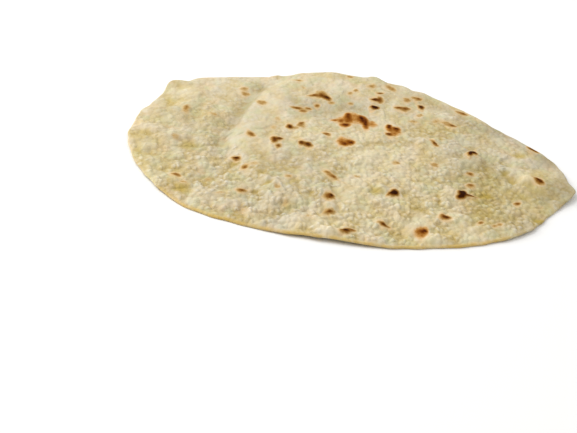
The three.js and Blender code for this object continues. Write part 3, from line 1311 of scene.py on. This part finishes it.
        # Paler tops and darker creases: partly flour and thin dough, partly painted highlight and painted
        # shade
        fine = self.crumb_cap.tone(crumbs) + self.pebble_cap.tone(pebbles.power(self.cap_power))
        caps = fine + self.relief_cap.tone(relief)
        tone = 0.5 + caps * rough.between(self.caps_where_smooth, 1)
        for mottle in self.mottles:
            uneven = canvas.noise(rolled, mottle.width, mottle.detail) - 0.5
            tone += uneven * rough.between(mottle.least, 1) * mottle.strength
        # Adds the crest's painted highlight and painted shade
        return tone + self._attribute(canvas, "tone")

    def _dough(self, canvas: Canvas, rolled: Field, tone: Field) -> Field:
        """Colours the untoasted dough.

        Args:
            canvas: the material's tree.
            rolled: where a point lies, shortened along the rolling.
            tone: the place on the dough's ramps.

        Returns:
            The colour.
        """
        warm = self._attribute(canvas, "warm")
        pale, yellow = (canvas.ramp(stops, tone) for stops in (self.dough_stops, self.warm_stops))
        dough = canvas.mix(warm, pale, yellow)
        for tint in self.tints:
            share = canvas.noise(rolled, tint.width, self.noise_detail).ease(*self.tint_ease)
            share *= warm.between(1, self.tint_on_warm) * tint.strength
            dough = canvas.mix(share, dough, linear(tint.colour))
        uneven = canvas.noise(rolled, self.uneven_width, self.noise_detail).ease(*self.uneven_ease)
        raised = self._attribute(canvas, "halo").ease(*self.blister_ease) * self.blister_strength
        swollen = self._attribute(canvas, "swollen") * self.swell_strength
        # Hollows: the thin dough's yellow, darkened as painted shade
        thin = self._attribute(canvas, "hollow").ease(*self.thin_ease) * self.thin_strength
        blush = self._attribute(canvas, "blush").ease(*self.blush_ease) * uneven.between(*self.blush_strength)
        # Golden front rim: partly the edge's toasted colour, partly painted shade and warm reflected light
        golden = self._attribute(canvas, "edge") * uneven.between(*self.rim_strength)
        coats = (
            (raised.larger(swollen), self.blister),
            (thin, self.thin),
            (blush, self.blush),
            (golden, self.rim),
        )
        for share, colour in coats:
            dough = canvas.mix(share, dough, linear(colour))
        # Painted light and shade: the dough's colour is scaled brighter or darker over the listed stretches
        # and on the crest's slope
        light = 1 + self.shading * self._attribute(canvas, "shade")
        return canvas.field("ShaderNodeVectorMath", {"operation": "SCALE"}, {0: dough, "Scale": light})

    def _toast(self, canvas: Canvas, place: Field) -> Field:
        """Breaks the outlines of the marks.

        Args:
            canvas: the material's tree.
            place: where a point lies on the bread.

        Returns:
            How far the point is toasted.
        """
        toast = self._attribute(canvas, "toast")
        coarse, fine = (canvas.noise(place, width, self.noise_detail) for width in self.ragged_widths)
        ragged = coarse + fine * self.ragged_fine - self.ragged_mean
        return toast + ragged * toast.ease(*self.ragged_ease) * self.raggedness

    def build(self) -> bpy.types.Material:
        """Makes the crust.

        Returns:
            The material.
        """
        material = bpy.data.materials.new("lavash_crust")
        material.use_nodes = True
        canvas = Canvas(material.node_tree)
        canvas.tree.nodes.clear()
        place = canvas.field("ShaderNodeTexCoord", output="Object")
        rolled = canvas.vector("MULTIPLY", place, ROLLING)
        crumbs = self._crumbs(canvas, place, rolled)
        pebbles = self._pebbles(canvas, place)
        toast = self._toast(canvas, place)
        ruddy = self._attribute(canvas, "ruddy").ease(*self.ruddy_ease)
        brown, orange = (canvas.ramp(stops, toast) for stops in (self.toast_stops, self.ruddy_stops))
        browned = canvas.mix(ruddy, brown, orange)
        dough = self._dough(canvas, rolled, self._tone(canvas, rolled, crumbs, pebbles))
        clear = self._attribute(canvas, "halo").ease(*CLEAR_OF_MARKS)
        bumps = crumbs * self.crumb_height + pebbles * clear * self.crease_depth
        bumps *= self._attribute(canvas, "rough").between(self.bumps_where_smooth, 1)
        sockets = {
            "Base Color": canvas.mix(toast.ease(*self.browning), dough, browned),
            "Roughness": self.roughness - self.toast_gloss * toast.ease(*self.gloss_ease),
            "Normal": canvas.field("ShaderNodeBump", {}, {"Distance": 1.0, "Height": bumps}),
            "Specular IOR Level": self.specular,
            "Subsurface Weight": self.subsurface,
            "Subsurface Radius": self.subsurface_radius,
            "Subsurface Scale": self.subsurface_depth,
        }
        shader = canvas.field("ShaderNodeBsdfPrincipled", {}, sockets)
        canvas.node("ShaderNodeOutputMaterial", {}, {"Surface": shader})
        return material


@dataclass
class Lavash:
    """The bread: its fine mesh, its marks and its crust."""

    camera: PhotoCamera
    node: str = "lavash"
    body: str = "root"
    slot: str = "crust"
    upper_from: float = 0.1
    sheet_thickness: float = 2.1 * MM
    pocket_rise: float = 3.3 * MM
    pocket_smoothing: float = 0.3
    swell_smoothing: float = 0.36
    golden_from: float = 0.98
    golden_front: Span = (0.55, 0.8)
    rough_front: float = -70 * MM
    smooth_back: float = 120 * MM
    least_rough: float = 0.3
    # Painted shade on the crest's slope, darker and a little yellower, and a painted highlight on its shoulder
    painted_slope_shade: float = -0.36
    painted_slope_tone: float = -0.14
    painted_shoulder_highlight: float = 0.16
    under_marks: int = 70
    under_width: Span = (3 * MM, 9 * MM)
    under_level: Span = (0.35, 1.0)
    under_reach: float = 0.9
    sizes: BubbleSizes = field(default_factory=BubbleSizes)
    finish: CrustFinish = field(default_factory=CrustFinish)

    def _roughness(
        self, plan: np.ndarray, thickness: np.ndarray, patches: Mapping[str, np.ndarray]
    ) -> np.ndarray:
        """Makes the bread pebbly, most at the front and least at the back.

        Args:
            plan: the points' x and y.
            thickness: how thick the bread is at each point.
            patches: the fields of the layers.

        Returns:
            How pebbly each point is.
        """
        pocket = np.clip((thickness - self.sheet_thickness) / self.pocket_rise, 0, 1)
        rough = 1 - (1 - self.least_rough) * eased(plan[:, 1], self.rough_front, self.smooth_back)
        rough *= 1 - self.pocket_smoothing * pocket
        rough *= 1 - self.swell_smoothing * np.clip(patches["swollen"], 0, 1)
        rough *= 1 + patches["pebbly"]
        return rough * (1 - np.clip(patches["smooth"], 0, 1))

    def _golden_rim(self, plan: np.ndarray, share: np.ndarray) -> np.ndarray:
        """Returns how golden each point of the rim is: only at the front, where the gold is partly the edge's
        toasted colour and partly painted shade and warm reflected light.
        """
        bearing = -plan[:, 1] / np.maximum(np.hypot(*plan.T), MM)
        return eased(share, self.golden_from, 1.0) * eased(bearing, *self.golden_front)

    def _under_toast(self, plan: np.ndarray) -> np.ndarray:
        """Toasts the underside, which lay on the griddle.

        Args:
            plan: the points' x and y.

        Returns:
            How far each point is toasted.
        """
        draw = random.Random(UNDER_FORM.seed)
        total = np.zeros(len(plan))
        radius = float(np.hypot(*plan.T).max())
        for _ in range(self.under_marks):
            angle = draw.uniform(0, WHOLE_TURN)
            away = radius * math.sqrt(draw.uniform(0, self.under_reach))
            half = draw.uniform(*self.under_width) / 2
            middle = away * np.array((math.cos(angle), math.sin(angle)))
            level = draw.uniform(*self.under_level)
            total = np.maximum(total, level * UNDER_FORM.dome(draw, plan, middle, np.eye(2) * half))
        return total

    def _fields(self, solid: MeasuredBread, lattice: Lattice) -> dict[str, np.ndarray]:
        """Makes what the bubbles and the crust read.

        Args:
            solid: the measured bread.
            lattice: its lattice.

        Returns:
            The attributes' values at the lattice's points, by name.
        """
        x, y, _, share, upper, thickness = np.array(lattice.points).T
        plan = np.column_stack((x, y))
        face = SeenFace(self.camera, solid, plan, self.sizes.halo_height)
        patches = {name: face.blended(layer.patches, layer.form) for name, layer in LAYERS.items()}
        rise = patches["swollen"] * self.sizes.swollen_height - patches["hollow"] * self.sizes.hollow_depth
        trough, shoulder, slope = Crest().fields(self.camera, plan)
        shown = {name: patches[name] for name in SHOWN_LAYERS}
        for name, form in MARK_FORMS.items():
            shown[name] = face.blended(MARKS, form, rise)
        shown["trough"] = trough
        # The crest's painted highlight on its shoulder and painted shade on its slope
        shown["tone"] = self.painted_shoulder_highlight * shoulder + self.painted_slope_tone * slope
        # Painted light and shade of the listed stretches, and painted shade on the crest's slope
        shown["shade"] = face.summed(SHADE_PATCHES, SHADE_FORM) + self.painted_slope_shade * slope
        on_top = upper > self.upper_from
        fields = {name: values * on_top for name, values in shown.items()}
        fields["toast"] += self._under_toast(plan) * ~on_top
        fields["rough"] = self._roughness(plan, thickness, patches)
        fields["edge"] = self._golden_rim(plan, share)
        fields["share"] = share
        fields["upper"] = upper
        return fields

    def build(self) -> bpy.types.Object:
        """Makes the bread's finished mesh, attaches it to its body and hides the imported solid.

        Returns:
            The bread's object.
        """
        solid = MeasuredBread(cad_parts[self.node])
        lattice = Lattice(solid)
        mesh = lattice.build()
        for name, values in self._fields(solid, lattice).items():
            attribute = mesh.attributes.new(name, "FLOAT", "POINT")
            attribute.data.foreach_set("value", values.astype(np.float32))
        piece = bpy.data.objects.new("lavash_bread", mesh)
        bpy.context.scene.collection.objects.link(piece)
        self.dress(piece)
        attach(piece, self.body)
        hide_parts(self.node)
        return piece

    def dress(self, piece: bpy.types.Object) -> None:
        """Raises the bubbles and lays on the crust."""
        BubbleTree(self.sizes).apply(piece, self.finish.build())


@dataclass(frozen=True)
class SoftBox:
    """A square area light that looks at the bread."""

    name: str
    place: tuple[float, float, float]
    side: float
    power: float

    def build(self) -> None:
        """Makes the light."""
        data = bpy.data.lights.new(self.name, "AREA")
        data.size = self.side
        data.energy = self.power
        light = bpy.data.objects.new(self.name, data)
        light.location = self.place
        light.rotation_euler = Vector(self.place).to_track_quat("Z", "Y").to_euler()
        bpy.context.scene.collection.objects.link(light)


@dataclass(frozen=True)
class Studio:
    """A plain pale floor and soft light."""

    floor_side: float = 12.0
    floor_drop: float = 0.1 * MM
    floor_colour: Colour = (248, 247, 245)
    floor_roughness: float = 0.9
    sky: float = 0.76
    sky_colour: Colour = (255, 255, 255)
    lights: tuple[SoftBox, ...] = (SoftBox("key_light", (-1.35, 0.4, 1.1), 1.6, 26),)

    def _floor(self) -> None:
        """Makes the floor."""
        half = self.floor_side / 2
        corners = [(-half, -half), (half, -half), (half, half), (-half, half)]
        mesh = bpy.data.meshes.new("floor")
        mesh.from_pydata([(x, y, -self.floor_drop) for x, y in corners], [], [(0, 1, 2, 3)])
        material = bpy.data.materials.new("floor")
        material.use_nodes = True
        shader = material.node_tree.nodes["Principled BSDF"]
        shader.inputs["Base Color"].default_value = linear(self.floor_colour)
        shader.inputs["Roughness"].default_value = self.floor_roughness
        mesh.materials.append(material)
        floor = bpy.data.objects.new("floor", mesh)
        bpy.context.scene.collection.objects.link(floor)

    def build(self) -> None:
        """Makes the floor, the sky and the lights."""
        self._floor()
        world = bpy.data.worlds.new("studio")
        world.use_nodes = True
        background = world.node_tree.nodes["Background"]
        background.inputs["Color"].default_value = linear(self.sky_colour)
        background.inputs["Strength"].default_value = self.sky
        bpy.context.scene.world = world
        bpy.context.scene.view_settings.view_transform = "Standard"
        for light in self.lights:
            light.build()


def main() -> None:
    """Builds the camera, the bread and the studio."""
    logging.basicConfig(level=logging.INFO, format="%(name)s: %(message)s")
    camera = PhotoCamera()
    camera.build()
    bread = Lavash(camera).build()
    LOG.info("%s has %d faces", bread.name, len(bread.data.polygons))
    Studio().build()


if __name__ == "__main__":
    main()
